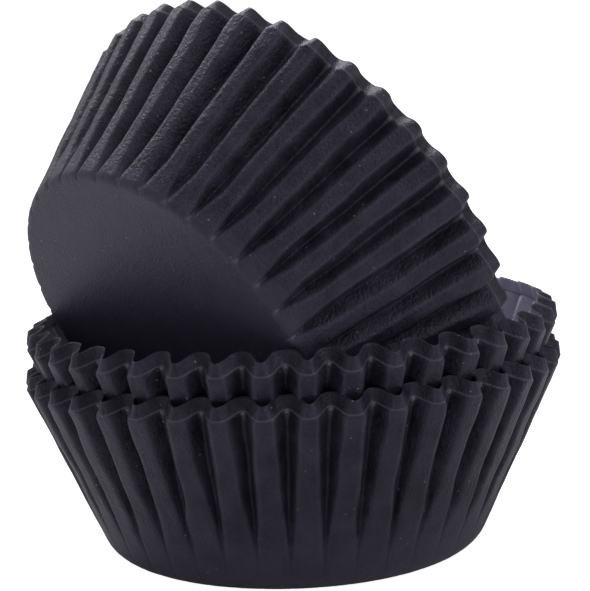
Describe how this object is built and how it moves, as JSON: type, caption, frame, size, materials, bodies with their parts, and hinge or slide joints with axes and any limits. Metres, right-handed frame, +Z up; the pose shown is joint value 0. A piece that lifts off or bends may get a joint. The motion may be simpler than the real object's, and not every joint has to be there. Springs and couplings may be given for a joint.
{
  "type": "stack of cupcake liners",
  "caption": "Small stack of fluted paper baking cups: one stands, one is nested in it, and one lies on its side in the open mouth.",
  "frame": {"origin": "centre of the lowest liner's base, on the face it stands on", "axes": "+Z up out of the liner's mouth, +X to the right and -Y to the front of the stack"},
  "size_m": [0.0681, 0.068, 0.0703],
  "materials": {
    "liner_paper": "matt black greaseproof paper with a faint sheen"
  },
  "bodies": {
    "root": {"lower_liner": "liner_paper", "nested_liner": "liner_paper", "tipped_liner": "liner_paper"}
  },
  "joints": []
}
